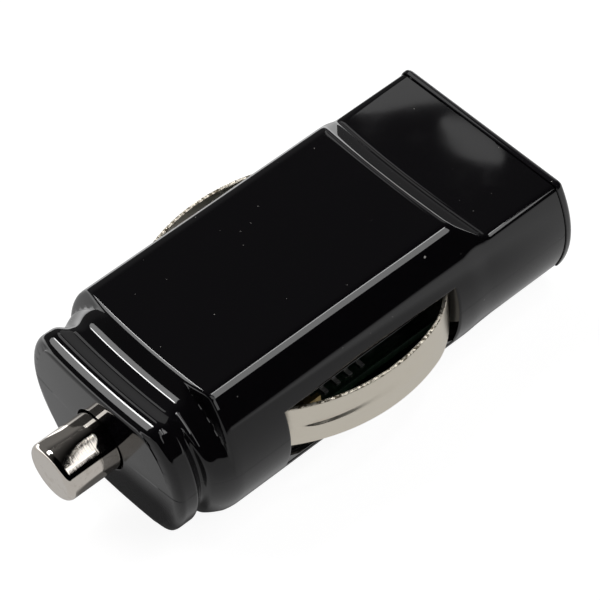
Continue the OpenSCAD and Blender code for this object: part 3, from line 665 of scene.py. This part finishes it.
# Each side contact is a strip stamped from spring steel and nickel plated: a bow with a long
# pressed bead, whose ends lie under the shells. Its sheared edges are left rough.
STRIP_T = 0.35
STRIP_W = 4.45
STRIP_BOW_R = 15.9
STRIP_REACH = 12.05
BOW_X = 24.95
TAIL_END, TAIL_X, TAIL_IN = 14.0, 15.3, 0.1
TOE_X, TOE_TIP_IN = 34.4, 0.35
TOE_FROM, TOE_IN = 30.0, 0.75
BEAD = (16.6, 30.8)
BEAD_Z, BEAD_W, BEAD_H = -0.1, 1.7, 0.19
BEAD_RISE, BEAD_FADE = 9, 2.6
CREASE, SOFTENED = 0.22, 1.1
LUG_IN, LUG_NECK, LUG_H, LUG_LOW = 2.0, 0.6, 1.6, -2.42
EDGE_IN, EDGE_MID, BURR_IN, RAGGED = 0.07, 0.55, 0.04, 0.018


def strip_line():
    """Middle line of the strip's outer face seen from above, as (x, y, outward direction)."""
    centre = STRIP_REACH - STRIP_BOW_R
    start = math.acos((WINDOW[0] - BOW_X) / STRIP_BOW_R)
    stop = math.acos((WINDOW[1] + 0.3 - BOW_X) / STRIP_BOW_R)
    bow = [
        (BOW_X + STRIP_BOW_R * math.cos(a), centre + STRIP_BOW_R * math.sin(a))
        for a in np.linspace(start, stop, 90)
    ]
    bow = [(x, y - TOE_IN * share_of(x, TOE_FROM, WINDOW[1]) ** 2) for x, y in bow]
    tail_y = bow[0][1] - TAIL_IN
    tail = [(TAIL_END, tail_y), (TAIL_X - 0.3, tail_y), (TAIL_X, tail_y)]
    points = np.array(tail + bow + [(TOE_X, bow[-1][1] - TOE_TIP_IN)])
    along = np.gradient(points, axis=0)
    along /= np.linalg.norm(along, axis=1)[:, None]
    return points, np.stack([-along[:, 1], along[:, 0]], axis=1)


def bead_height(x, z):
    """How far the bead stands out: its upper side starts as a crease and softens along it."""
    along = share_of(x, *BEAD)
    ends = np.clip(along * BEAD_RISE, 0, 1) * np.clip((1 - along) * BEAD_FADE, 0, 1)
    ends = ends * ends * (3 - 2 * ends)
    off = (z - BEAD_Z) / (BEAD_W / 2)
    crease = CREASE + SOFTENED * np.clip(along * 2.2 - 0.35, 0, 1)
    upper = np.clip(1 - off / crease, 0, 1)
    lower = np.clip(1 + off / 1.7, 0, 1)
    across = np.where(off > 0, upper, lower)
    across = across * across * (3 - 2 * across)
    return BEAD_H * ends * across


def stamped_strip(name, side):
    """One strip, drawn as rings round its section from the lug's end to the toe."""
    points, outward = strip_line()
    sheared = np.random.default_rng(7 if side < 0 else 11)
    half = STRIP_W / 2
    across = np.concatenate([
        [-half + 0.07], np.linspace(-half + 0.2, -0.3, 14), np.arange(-0.22, 0.4, 0.04),
        np.linspace(0.45, half - 0.2, 12), [half - 0.07],
    ])
    verts = []
    for (x, y), (nx, ny) in zip(points, outward):
        ragged = sheared.uniform(-RAGGED, RAGGED, 4)
        middle, burr = -STRIP_T * EDGE_MID, -STRIP_T + BURR_IN
        ring = [(0.0, z) for z in across]
        ring += [(-EDGE_IN, half + ragged[0]), (middle, half - 0.01 + ragged[1]), (burr, half - 0.03)]
        ring += [(-STRIP_T, z) for z in across[::-1]]
        ring += [(burr, -half + 0.03), (middle, -half + 0.01 + ragged[2]), (-EDGE_IN, -half + ragged[3])]
        for off, z in ring:
            lift = off + float(bead_height(x, z))
            verts.append(at(x + nx * lift, side * (y + ny * lift), z))
    n = len(verts) // len(points)
    faces = [
        (i * n + j, (i + 1) * n + j, (i + 1) * n + (j + 1) % n, i * n + (j + 1) % n)
        for i in range(len(points) - 1) for j in range(n)
    ]
    last = (len(points) - 1) * n
    faces += [tuple(range(n)), tuple(last + k for k in range(n))]
    tail_y = points[0][1]
    low, high = -half, -half + LUG_H
    base = len(verts)
    corners = [
        (tail_y - LUG_IN, LUG_LOW), (tail_y - LUG_NECK, LUG_LOW), (tail_y - LUG_NECK, low),
        (tail_y, low), (tail_y, high), (tail_y - LUG_IN, high),
    ]
    for x in (TAIL_END, TAIL_END + STRIP_T):
        verts += [at(x, side * y, z) for y, z in corners]
    faces += [tuple(base + k for k in range(6)), tuple(base + 11 - k for k in range(6))]
    faces += [(base + k, base + (k + 1) % 6, base + 6 + (k + 1) % 6, base + 6 + k) for k in range(6)]
    piece = add_mesh(name, verts, faces)
    sharpen(piece, 38)
    return piece


def satin_nickel(name):
    """Satin nickel on stamped strip: rolling lines along it, and speckled, torn edges."""
    finish = Finish(name)
    rolled = finish.noise(3.0, 4, (0.25, 1, 3))
    torn = finish.noise(3.2, 2, (1, 1, 0.4))
    height = finish.node("ShaderNodeSeparateXYZ", None, {"Vector": finish.place()}, output="Z")
    off_middle = height.math("ABSOLUTE", height - LABEL_H)
    edge = off_middle.ramp(STRIP_W / 2 - 0.07, STRIP_W / 2 - 0.02)
    dark = torn.ramp(0.5, 0.6) * edge
    colour = finish.mix(dark, (0.93, 0.865, 0.745, 1), (0.2, 0.17, 0.12, 1))
    rough = 0.3 + rolled.ramp(0.35, 0.75) * 0.1 + edge * 0.15
    surface = finish.bump(rolled, 0.006, 0.4)
    ragged = finish.bump(torn * edge, 0.09, 1.0, surface)
    return finish.plain(Base_Color=colour, Metallic=1.0, Roughness=rough, Normal=ragged)


strip_nickel = satin_nickel("strip_nickel")
for side, word in ((-1, "near"), (1, "far")):
    strip = stamped_strip(f"side_strip_{word}", side)
    dress(strip, strip_nickel, f"{word}_contact", f"side_contact_{word}")


# The pin's spring is wound from plated wire; it shortens as the pin goes in, but is drawn here
# at one length. The bracket behind it and the tabs beside it are cut and folded from brass
# sheet, soldered to the board.
SPRING_SEAT = 14.1
WIRE_R, COIL_R, COIL_TURNS, COIL_GAP = 0.225, 1.8, 6, 0.02


def wound_spring():
    """Spring of round wire between the pin's flange and the bracket."""
    start, stop = FLANGE_END + WIRE_R + COIL_GAP, SPRING_SEAT - WIRE_R - COIL_GAP
    around, steps = 12, COIL_TURNS * 32
    verts, faces = [], []
    for i in range(steps + 1):
        turn = 2 * math.pi * COIL_TURNS * i / steps
        x = start + (stop - start) * i / steps
        for k in range(around):
            t = 2 * math.pi * k / around
            r = COIL_R + WIRE_R * math.cos(t)
            verts.append(at(x + WIRE_R * math.sin(t), r * math.cos(turn), r * math.sin(turn)))
    for i in range(steps):
        a, b = i * around, (i + 1) * around
        faces += [(a + k, a + (k + 1) % around, b + (k + 1) % around, b + k) for k in range(around)]
    faces += [tuple(range(around)), tuple(steps * around + k for k in range(around))]
    return add_mesh("spring_wire", verts, faces)


def drawn_metal(name, colour, worn, rough):
    """Sheet or wire: a colour that drifts to its worn tone, with fine drawing lines."""
    finish = Finish(name)
    drift = finish.noise(2.0, 4)
    lines = finish.noise(12, 2, (0.1, 1, 1))
    tone = finish.mix(drift.ramp(0.4, 0.7), colour, worn)
    return finish.plain(
        Base_Color=tone, Metallic=1.0, Roughness=rough + drift.ramp(0.3, 0.8) * 0.15,
        Normal=finish.bump(lines, 0.004, 0.4),
    )


def recoat(nodes, finish):
    """Gives CAD nodes a finish."""
    for name in nodes:
        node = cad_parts[name]
        node.data.materials.clear()
        node.data.materials.append(finish)


spring_plate = drawn_metal("spring_plate", grey(0.62), grey(0.45), 0.22)
spring = dress(wound_spring(), spring_plate, "housing", "pin_spring")
tuple(at(SPRING_SEAT, 0, 0))
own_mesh(spring)
# Both tones of this brass sheet are darkened well below bright brass: painted shade, for the shade the
# bracket and tabs sit in inside the shell.
recoat(
    ["spring_terminal", "contact_tab_near", "contact_tab_far"],
    drawn_metal("brass_sheet_shade_darkened", (0.42, 0.32, 0.14, 1), (0.26, 0.19, 0.09, 1), 0.4),
)


# The board is glass-fibre laminate under dark green lacquer. The converter's parts are soldered
# to it: moulded chips, tinned leads, a choke wound in copper and two cans with rubber bungs.
def moulded_matt(name, colour, rough, grain=4.0, depth=0.01):
    """Matt mouldings, rubber and ceramic: a fine grain and a drift in tone."""
    finish = Finish(name)
    drift = finish.noise(0.8, 4)
    fine = finish.noise(grain * 3, 3)
    pale = tuple(c * 1.5 for c in colour[:3]) + (1,)
    tone = finish.mix(drift.ramp(0.35, 0.8), colour, pale)
    return finish.plain(
        Base_Color=tone, Roughness=rough + fine.ramp(0.3, 0.8) * 0.12,
        Normal=finish.bump(fine, depth, 0.6),
    )


def lacquered_board():
    """Dark green lacquer over copper tracks that show as faint raised bands."""
    finish = Finish("board_lacquer")
    bands = finish.node("ShaderNodeTexBrick", {"offset": 0.5}, {
        "Vector": finish.place(), "Scale": 0.55, "Mortar Size": 0.05,
        "Color1": grey(1.0), "Color2": grey(0.85), "Mortar": grey(0.0),
    }, output="Fac")
    tone = finish.mix(bands, (0.006, 0.02, 0.009, 1), (0.004, 0.012, 0.006, 1))
    return finish.plain(Base_Color=tone, Roughness=0.3, Normal=finish.bump(bands, 0.03, 0.6))


recoat(["circuit_board"], lacquered_board())
recoat(["converter_chip", "diode"], moulded_matt("chip_epoxy", grey(0.02), 0.5))
# Both tones of the tinned leads are darkened well below bright tin: painted shade, for the shade they
# lie in inside the shell.
recoat(
    ["chip_leads", "diode_leads", "capacitor_leads", "chip_terminals"],
    drawn_metal("tinned", grey(0.36), grey(0.26), 0.55),
)
recoat(["chip_resistors"], moulded_matt("resistor_glaze", grey(0.03), 0.35))
recoat(["chip_capacitors"], moulded_matt("capacitor_ceramic", (0.42, 0.28, 0.17, 1), 0.55))
recoat(["ferrite_core"], moulded_matt("ferrite", grey(0.06), 0.55, 2.0, 0.02))
recoat(
    ["choke_winding"],
    drawn_metal("enamelled_copper", (0.55, 0.2, 0.08, 1), (0.42, 0.14, 0.05, 1), 0.25),
)
recoat(["input_capacitor", "output_capacitor"], drawn_metal("can_aluminium", grey(0.6), grey(0.5), 0.3))
recoat(["capacitor_bungs"], moulded_matt("bung_rubber", grey(0.03), 0.7))


# The USB socket behind the cap is a folded and plated sheet shell round a moulded block, whose
# tongue carries four gilt contacts on its lower side.
recoat(["usb_shell"], drawn_metal("socket_plate", grey(0.66, 0.02), grey(0.52, 0.02), 0.2))
recoat(["usb_insulator"], moulded_matt("socket_block", (0.78, 0.78, 0.74, 1), 0.45))
recoat(["usb_contacts"], drawn_metal("gilt", (0.85, 0.62, 0.25, 1), (0.7, 0.48, 0.18, 1), 0.2))


# The studio is a white card under the plug in a dark room. Soft boxes hang over it, whose light
# draws the lines along the valley and the flats' edges, and the black plastic mirrors the card.
CARD = 1.6
SHADOW_SHARE = 0.35
CARD_GLOW = 1.42
# The card as the black plastic mirrors it is painted: a painted contact shadow round the plug's foot,
# painted light behind and beside it, and painted shade fading in far out on the near side.
PAINTED_MIRROR_LEVELS = (0.1, 0.5)
PAINTED_CONTACT_SHADOW = (4.4, 6.2)
PAINTED_SHADOW_FOOT = (15.5, 1.5)
BEHIND, PAINTED_LIGHT_BEHIND = (20, 34), 0.35
BESIDE, PAINTED_LIGHT_BESIDE = (20, 48), 1.5
PAINTED_NEAR_FADE = (-230, -100)
ROOM = (0.045, 0.15)
WALL_LOW, WALL_HIGH = (0.0, 0.5), (0.56, 0.75)


def white_card():
    """The card the plug lies on, a stage piece: white to the camera, with a soft shadow left."""
    half = CARD / 2
    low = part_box("lower_shell")[0].z
    corners = [(-half, -half, low), (half, -half, low), (half, half, low), (-half, half, low)]
    card = add_mesh("card", corners, [(0, 1, 2, 3)])
    finish = Finish("card_white")
    seen = finish.node("ShaderNodeLightPath", output="Is Camera Ray")
    mirrored = finish.node("ShaderNodeLightPath", output="Is Glossy Ray")
    grain = finish.noise(0.05, 2)
    paper = finish.mix(grain, grey(0.86), grey(0.89))
    lit = finish.node("ShaderNodeBsdfDiffuse", None, {"Color": paper})
    along, across = [
        finish.node("ShaderNodeSeparateXYZ", None, {"Vector": finish.place()}, output=axis)
        for axis in "XY"
    ]
    out = []
    for place, reach in ((along, PAINTED_SHADOW_FOOT[0]), (across + PAINTED_SHADOW_FOOT[1], PAINTED_SHADOW_FOOT[1])):
        out.append(place.math("MAXIMUM", place.math("ABSOLUTE", place) - reach, 0.0) ** 2.0)
    away = (out[0] + out[1]) ** 0.5
    # Painted shade and light on the card as mirrored: darker round the plug's foot as a painted contact
    # shadow, lighter behind and beside it, and fading dark far out on the near side.
    level = PAINTED_MIRROR_LEVELS[0] + away.ramp(*PAINTED_CONTACT_SHADOW) * (PAINTED_MIRROR_LEVELS[1] - PAINTED_MIRROR_LEVELS[0])
    level = level + along.ramp(*BEHIND) * PAINTED_LIGHT_BEHIND + across.ramp(*BESIDE) * PAINTED_LIGHT_BESIDE
    glow = seen * CARD_GLOW + mirrored * level * across.ramp(*PAINTED_NEAR_FADE)
    white = finish.node("ShaderNodeEmission", None, {"Color": grey(1.0), "Strength": glow})
    share = seen * (1 - SHADOW_SHARE) + mirrored
    finish.surface(finish.node("ShaderNodeMixShader", None, {0: share, 1: lit, 2: white}))
    card.data.materials.append(finish.owner)


def room():
    """White to the camera; to everything else, dark, with a dim wall on the far side."""
    world = bpy.data.worlds.new("room")
    bpy.context.scene.world = world
    finish = Finish("room", world)
    seen = finish.node("ShaderNodeLightPath", output="Is Camera Ray")
    direction = finish.node("ShaderNodeTexCoord", output="Generated")
    across = finish.node("ShaderNodeSeparateXYZ", None, {"Vector": direction}, output="Y")
    wall = across.ramp(*WALL_LOW) * ROOM[0] + across.ramp(*WALL_HIGH) * (ROOM[1] - ROOM[0])
    strength = wall.math("MAXIMUM", wall, seen)
    finish.surface(finish.node("ShaderNodeBackground", None, {"Color": grey(1.0), "Strength": strength}))


def soft_box(name, direction, distance, size, radiance, roll=0, shape="RECTANGLE"):
    """Light at a distance from the plug's middle, facing it, turned by roll degrees."""
    data = bpy.data.lights.new(name, "AREA")
    data.shape = shape
    data.size, data.size_y = size
    data.energy = radiance * size[0] * size[1] * math.pi
    lamp = bpy.data.objects.new(name, data)
    aim = Vector(direction).normalized()
    turn = aim.to_track_quat("Z", "Y").to_matrix().to_4x4() @ Matrix.Rotation(math.radians(roll), 4, "Z")
    lamp.matrix_world = Matrix.Translation(at(23, 0, 0) + aim * distance) @ turn
    bpy.context.scene.collection.objects.link(lamp)


white_card()
room()
soft_box("box_over", (0.4, -0.502, 0.763), 0.6, (0.118, 0.54), 3.4, -31.6)
soft_box("box_line", (0.145, 0.52, 0.842), 0.6, (0.08, 0.08), 26)
soft_box("box_behind", (-0.26, 0.55, 0.79), 0.6, (0.55, 0.14), 4, -31)
soft_box("box_pin", (0.22, -0.65, 0.72), 0.6, (0.084, 0.69), 1.5, -13.8)
soft_box("box_edge", (0.385, -0.1, 0.917), 0.6, (0.11, 0.05), 9, -74.2)
soft_box("panel_rear", (0.77, 0.52, 0.38), 0.6, (0.22, 0.22), 0.42)
soft_box("panel_head", (0.326, 0.3525, 0.3605), 0.6, (0.071, 0.168), 1.15)
soft_box("panel_blob", (0.2912, 0.3007, 0.4387), 0.607, (0.03, 0.011), 0.85, -45, "ELLIPSE")

bpy.context.scene.view_settings.view_transform = "Standard"
